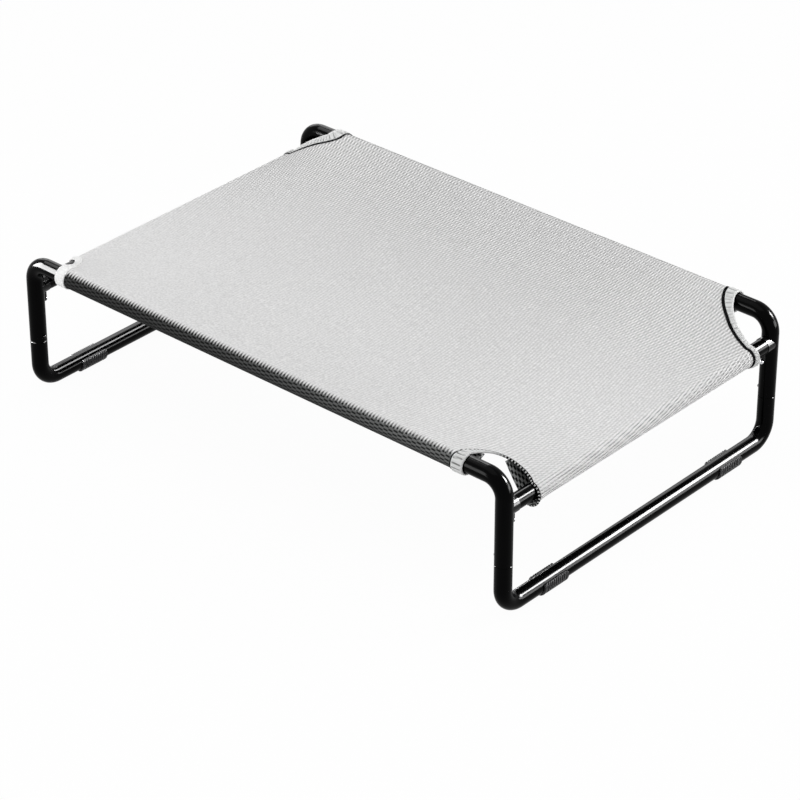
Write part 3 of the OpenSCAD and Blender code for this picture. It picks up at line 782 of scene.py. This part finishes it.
def spring_material():
    """Rolled spring steel with lines along the strip."""
    color = opaque(settings().finish.spring_color)
    nodes = Nodes("spring_steel")
    inputs = {"Vector": nodes.place(), "Scale": (1.0, 1.0, 0.05)}
    lines = nodes.noise(2600.0, 2.0, nodes.add("ShaderNodeMapping", inputs).outputs[0])
    nodes.shade(Base_Color=color, Metallic=1.0, Roughness=0.34)
    nodes.shade(Normal=nodes.bump(lines, 0.00003, 0.4))
    return nodes.material


def paint_nodes(material, names):
    """Gives CAD nodes a material and leaves their meshes alone."""
    for name in names:
        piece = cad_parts[name]
        for slot in piece.material_slots:
            slot.material = material


# Operators


class COT_OT_frame_finish(bpy.types.Operator):
    """Paint the rails, leg frames and cross tubes"""

    bl_idname = "cot.frame_finish"
    bl_label = "Tubes"

    def execute(self, context):
        names = [f"side_rail_{side}" for side in ("front", "back")]
        names += [f"{kind}_{end}" for kind in ("leg_frame", "cross_tube") for end in ("left", "right")]
        paint_nodes(paint_material(), names)
        return {"FINISHED"}


class COT_OT_small_parts(bpy.types.Operator):
    """Finish the joint blocks, screws, snap buttons, springs and feet"""

    bl_idname = "cot.small_parts"
    bl_label = "Small parts"

    def execute(self, context):
        finishes = [
            (plastic_material(), ("joint_block", "snap_button")),
            (rubber_material(), ("foot",)),
            (zinc_material(), ("block_screw",)),
            (spring_material(), ("button_spring",)),
        ]
        for material, kinds in finishes:
            names = [f"{kind}_{side}_{end}" for kind in kinds for side, end in CORNERS]
            paint_nodes(material, names)
        return {"FINISHED"}


class COT_OT_sling(bpy.types.Operator):
    """Stretch the cloth over the four tubes"""

    bl_idname = "cot.sling"
    bl_label = "Sling"

    def execute(self, context):
        edge_sizes.cache_clear()
        cloth = settings().cloth
        outside = cloth.turn_rows + cloth.flap_rows
        last_row = cloth.rows + 2 * cloth.cut_rows
        columns, rows = cloth.columns + 2 * outside, last_row + 2 * outside
        bm = bmesh.new()
        bmesh.ops.create_grid(bm, x_segments=columns, y_segments=rows, size=0.5)
        place = {}
        for vert in bm.verts:
            column = round((vert.co.x + 0.5) * columns) - outside
            row = round((vert.co.y + 0.5) * rows) - outside
            place[vert.index] = (column, row)

        def in_corner(face):
            """Whether a face lies past a cut-out, where the cloth has none."""
            column = sum(place[v.index][0] for v in face.verts) / 4
            row = sum(place[v.index][1] for v in face.verts) / 4
            past_end = column < 0 or column > cloth.columns
            return past_end and (row < cloth.cut_rows or row > last_row - cloth.cut_rows)

        corners = [face for face in bm.faces if in_corner(face)]
        flat = bm.verts.layers.float_vector.new("flat")
        for vert in bm.verts:
            vert.co, (u, v) = sling_vertex(*place[vert.index])
            vert[flat] = (u, v, 0)
        bmesh.ops.delete(bm, geom=corners, context="FACES")
        uv = bm.loops.layers.uv.new("flat_cloth")
        for face in bm.faces:
            for loop in face.loops:
                loop[uv].uv = loop.vert[flat].xy
        piece = link_mesh(bm, "sling_cloth")
        solid = piece.modifiers.new("thickness", "SOLIDIFY")
        solid.thickness = cloth.thickness
        solid.offset = 0
        solid.material_offset = 1
        solid.material_offset_rim = 1
        materials = [face_material(), reverse_material()]
        finish_piece(piece, materials, ["mesh_sling"])
        declare_sheet()
        return {"FINISHED"}


def declare_sheet():
    """Works out the size of the rectangle the cloth was cut from, which reaches round the tubes and loses
    its corners; the sizes are not kept.
    """
    rail, cross = rail_loop(), cross_loop()
    seam_z = rail.top_z
    along = 2 * (HALF_X + cross.arc + cross.flap_length(seam_z - (RAIL_Z - CROSS_Z)))
    across = 2 * (HALF_Y + rail.arc + rail.flap_length(seam_z))


def edge_path(sx, sy):
    """Flat points along the bound edge of one corner, from under the rail to under the cross tube."""
    third = settings().binding.steps // 3
    wrapped = 0.96  # share of the cloth's turn that the tape follows
    _, _, form = form_at(sx, sy)
    rail_part, cross_part = rail_loop().arc * wrapped, cross_loop().arc * wrapped
    path = []
    for step in range(third):
        past_rail = rail_part * (1 - step / third)
        path.append((sx * (HALF_X - form.bare_rail), sy * (HALF_Y + past_rail)))
    for step in range(third):
        path.append(cut_point(sx, sy, step / third))
    for step in range(third + 1):
        past_cross = cross_part * step / third
        path.append((sx * (HALF_X + past_cross), sy * (HALF_Y - form.bare_cross)))
    return [pulled(*point) for point in path]


def path_frames(path, sx, sy):
    """(flat point, inward direction, distance along) for each point of a flat path."""
    window = 3  # points to each side that give the direction
    frames, travelled = [], 0.0
    for index, (u, v) in enumerate(path):
        before, after = path[max(0, index - window)], path[min(len(path) - 1, index + window)]
        inward = Vector((-(after[1] - before[1]), after[0] - before[0])).normalized()
        if inward.x * sx + inward.y * sy > 0:
            inward = -inward
        if index:
            travelled += math.dist(path[index - 1], (u, v))
        frames.append((Vector((u, v)), inward, travelled))
    return frames


def on_cloth(point, inward, across, height):
    """Place on the cloth, this far in from the edge and this high over its middle."""
    flat = point + inward * across
    place, normal = cloth_point(flat.x, flat.y)
    return place + normal * height


def gathers(distance, across, pitch, seed):
    """Irregular folds across a tape, from -1 to 1."""
    drift, lean, fine_lean = 210, 70, -90  # turns of the wave, in radians a metre
    slow = math.sin(distance * drift + seed * 2.1)
    turn = math.tau / pitch
    folds = math.sin(distance * turn + 1.3 * slow + seed + lean * across)
    fine = math.sin(distance * turn * 1.7 + 2.3 * slow + seed * 3 + fine_lean * across)
    return 0.7 * folds + 0.3 * fine


def tape_width(form, step, steps):
    """Width of a tape at one of its sections."""
    place = 4 * step / steps
    part = min(3, int(place))
    side_light = place - part
    side_light = side_light * side_light * (3 - 2 * side_light)
    return form.widths[part] + (form.widths[part + 1] - form.widths[part]) * side_light


class COT_OT_bindings(bpy.types.Operator):
    """Bind the four cut-outs with gathered tape"""

    bl_idname = "cot.bindings"
    bl_label = "Bindings"

    shadow_line_height = 0.0006
    piping_width, piping_height = 0.0009, 0.0011

    def execute(self, context):
        binding = settings().binding
        finishes = {
            "cuff": tape_material("cuff", binding.cuff_color, 0.95),
            "gathered": tape_material("gathered", binding.color, 0.25, stitched=True),
            "band": tape_material("band", binding.color, 0.5),
        }
        shadow_line = shadow_line_material()
        for seed, (side, end) in enumerate(CORNERS):
            form = FORMS[side, end]
            sx, sy = corner_signs(side, end)
            frames = path_frames(edge_path(sx, sy), sx, sy)
            steps = len(frames) - 1
            widths = [tape_width(form, step, steps) for step in range(steps + 1)]
            sections = [self.tape_section(*at, width, form, seed) for at, width in zip(frames, widths)]
            piece = sweep(f"binding_{side}_{end}", sections)
            finish_piece(piece, [finishes[form.tape]], [f"edge_tape_{side}_{end}"])
            # a near-black strip along the tape's inner edge is painted shadow, cast by the tape's raised
            # edge
            if form.shadow_line:
                places = [width + form.shadow_line for width in widths]
                size = form.shadow_line, self.shadow_line_height
                piece = self.bead(f"groove_{side}_{end}", frames, places, *size)
                finish_piece(piece, [shadow_line])
            if form.tape == "band":
                places = [-binding.lip] * len(frames)
                size = self.piping_width, self.piping_height
                piece = self.bead(f"piping_{side}_{end}", frames, places, *size)
                finish_piece(piece, [finishes["cuff"]])
        return {"FINISHED"}

    def tape_section(self, point, inward, distance, width, form, seed):
        """Ring of points round the tape: from the lip over its top, and back beneath.

        Folds are calm near the edge and where the tape is narrow.
        """
        binding = settings().binding
        full_fold, full_width = 0.003, 0.008
        off_cloth = 0.00005
        lip, base = binding.lip, settings().cloth.thickness / 2
        top, beneath = base + binding.height, base + off_cloth
        profile = [(-lip * 0.7, -base), (-lip, base * 0.6), (-lip * 0.8, top * 0.7)]
        profile += [(width * side_light, top) for side_light in (0.015, 0.08, 0.2, 0.35, 0.5, 0.65, 0.8, 0.92)]
        profile += [(width, top * 0.75), (width, beneath)]
        profile += [(width * side_light, beneath) for side_light in (0.66, 0.33, 0.02)]
        ring = []
        for across, height in profile:
            fold = 0.0
            if height >= top:
                calm = min(1, across / full_fold) * min(1, width / full_width)
                fold = calm * gathers(distance, across, form.pitch, seed)
                height += form.gather * fold
            ring.append((on_cloth(point, inward, across, height), distance, across, fold))
        return ring

    def bead(self, name, frames, places, half_width, half_height):
        """Oval bead along a path on the cloth, at a place of its own across each section."""
        sides = 8
        base = settings().cloth.thickness / 2
        sections = []
        for (point, inward, distance), across in zip(frames, places):
            ring = []
            for side in range(sides):
                angle = math.tau * side / sides
                height = base + half_height * (1 + math.sin(angle))
                place = on_cloth(point, inward, across + half_width * math.cos(angle), height)
                ring.append((place, distance, across, 0.0))
            sections.append(ring)
        return sweep(name, sections)


class COT_OT_stage(bpy.types.Operator):
    """Set the pale floor, the lamps and the camera"""

    bl_idname = "cot.stage"
    bl_label = "Stage"

    def execute(self, context):
        self.add_floor()
        self.add_world()
        self.add_lamps()
        self.add_camera()
        context.scene.view_settings.view_transform = "Standard"
        return {"FINISHED"}

    def seen_directly(self, tree):
        """1 for camera, glossy and transmission rays, 0 for light that scatters."""
        path = tree.nodes.new("ShaderNodeLightPath")
        total = None
        for name in ("Is Camera Ray", "Is Glossy Ray", "Is Transmission Ray"):
            if total is None:
                total = path.outputs[name]
                continue
            node = tree.nodes.new("ShaderNodeMath")
            node.operation = "MAXIMUM"
            tree.links.new(total, node.inputs[0])
            tree.links.new(path.outputs[name], node.inputs[1])
            total = node.outputs[0]
        return total

    def add_floor(self):
        """Plain white floor, which keeps a faint shadow of the cot."""
        half_side, shadow_share = 15, 0.03
        bm = bmesh.new()
        bmesh.ops.create_grid(bm, x_segments=1, y_segments=1, size=half_side)
        piece = link_mesh(bm, "floor", smooth=False)
        nodes = Nodes("white_floor")
        nodes.shade(Base_Color=(0.92, 0.92, 0.92, 1), Roughness=0.9, Specular_IOR_Level=0.0)
        glow = nodes.add("ShaderNodeEmission", {"Color": (1, 1, 1, 1), "Strength": 1.0})
        side_light = nodes.math("MULTIPLY", self.seen_directly(nodes.tree), 1 - shadow_share)
        blend = nodes.add("ShaderNodeMixShader", {"Fac": side_light})
        nodes.tree.links.new(nodes.shader.outputs[0], blend.inputs[1])
        nodes.tree.links.new(glow.outputs[0], blend.inputs[2])
        nodes.tree.links.new(blend.outputs[0], nodes.tree.nodes["Material Output"].inputs["Surface"])
        piece.data.materials.append(nodes.material)

    def add_world(self):
        """Even white surroundings, at full strength only where they are seen."""
        world = bpy.data.worlds.new("studio")
        bpy.context.scene.world = world
        world.use_nodes = True
        tree = world.node_tree
        background = tree.nodes["Background"]
        background.inputs["Color"].default_value = (1, 1, 1, 1)
        strength = tree.nodes.new("ShaderNodeMapRange")
        strength.inputs["To Min"].default_value = settings().stage.world_strength
        strength.inputs["To Max"].default_value = 1.0
        tree.links.new(self.seen_directly(tree), strength.inputs["Value"])
        tree.links.new(strength.outputs[0], background.inputs["Strength"])

    def add_lamps(self):
        """Soft panels that light the cot, and bright ones that only its gloss shows."""
        stage = settings().stage
        self.add_panel("key_panel", (1.5, 1.7, 1.45), (1.3, 1.2), stage.key_power, glossy=False)
        self.add_panel("top_panel", (-0.2, -0.4, 2.3), (2.2, 1.8), stage.top_power)
        self.add_panel("front_panel", (-1.6, -2.2, 0.9), (2.0, 1.2), stage.fill_power)
        for panel in GLOSS_PANELS:
            power = panel.radiance * math.pi * panel.size[0] * panel.size[1]
            lamp = self.add_panel(panel.name, panel.place, panel.size, power, diffuse=False)
            if panel.faces_down:
                lamp.rotation_euler = (0, 0, 0)

    def add_panel(self, name, place, size, power, diffuse=True, glossy=True):
        """Rectangular lamp that faces the middle of the cot."""
        middle = Vector((0, 0, 0.15))
        data = bpy.data.lights.new(name, "AREA")
        data.shape = "RECTANGLE"
        data.size, data.size_y = size
        data.energy = power
        lamp = bpy.data.objects.new(name, data)
        lamp.location = place
        lamp.rotation_euler = (middle - Vector(place)).to_track_quat("-Z", "Y").to_euler()
        lamp.visible_camera = False
        lamp.visible_diffuse = diffuse
        lamp.visible_glossy = glossy
        bpy.context.scene.collection.objects.link(lamp)
        return lamp

    def add_camera(self):
        """Camera at the photograph's angle, aimed near the middle of the bottom bars."""
        stage = settings().stage
        a, e = stage.azimuth, stage.elevation
        back = Vector((math.sin(a) * math.cos(e), -math.cos(a) * math.cos(e), math.sin(e)))
        right = Vector((math.cos(a), math.sin(a), 0))
        up = Vector((-math.sin(a) * math.sin(e), math.cos(a) * math.sin(e), math.cos(e)))
        bar_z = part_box("leg_frame_left")[0].z + TUBE_R
        aim = Vector((0, 0, bar_z)) + right * stage.aim_right + up * stage.aim_up
        data = bpy.data.cameras.new("camera")
        data.lens = stage.lens
        data.sensor_width = 36
        data.clip_end = 100
        camera = bpy.data.objects.new("camera", data)
        camera.location = aim + back * stage.distance
        camera.rotation_euler = (-back).to_track_quat("-Z", "Y").to_euler()
        bpy.context.scene.collection.objects.link(camera)
        bpy.context.scene.camera = camera


class COT_PT_panel(bpy.types.Panel):
    """Buttons for the cot's parts, and its settings"""

    bl_label = "Dog Cot"
    bl_idname = "COT_PT_panel"
    bl_space_type = "VIEW_3D"
    bl_region_type = "UI"
    bl_category = "Dog Cot"

    def draw(self, context):
        for operator in OPERATORS:
            self.layout.operator(operator.bl_idname)
        for group in (context.scene.cot.cloth, context.scene.cot.binding, context.scene.cot.finish,
                      context.scene.cot.stage):
            box = self.layout.box()
            for name in group.__annotations__:
                box.prop(group, name)


GROUPS = (ClothSettings, BindingSettings, FinishSettings, StageSettings, CotSettings)
OPERATORS = (COT_OT_stage, COT_OT_frame_finish, COT_OT_small_parts, COT_OT_sling, COT_OT_bindings)


def register():
    for item in (*GROUPS, *OPERATORS, COT_PT_panel):
        bpy.utils.register_class(item)
    bpy.types.Scene.cot = PointerProperty(type=CotSettings)


def unregister():
    del bpy.types.Scene.cot
    for item in reversed((*GROUPS, *OPERATORS, COT_PT_panel)):
        bpy.utils.unregister_class(item)


def main():
    register()
    bpy.ops.cot.stage()
    bpy.ops.cot.frame_finish()
    bpy.ops.cot.small_parts()
    bpy.ops.cot.sling()
    bpy.ops.cot.bindings()


if __name__ == "__main__":
    main()
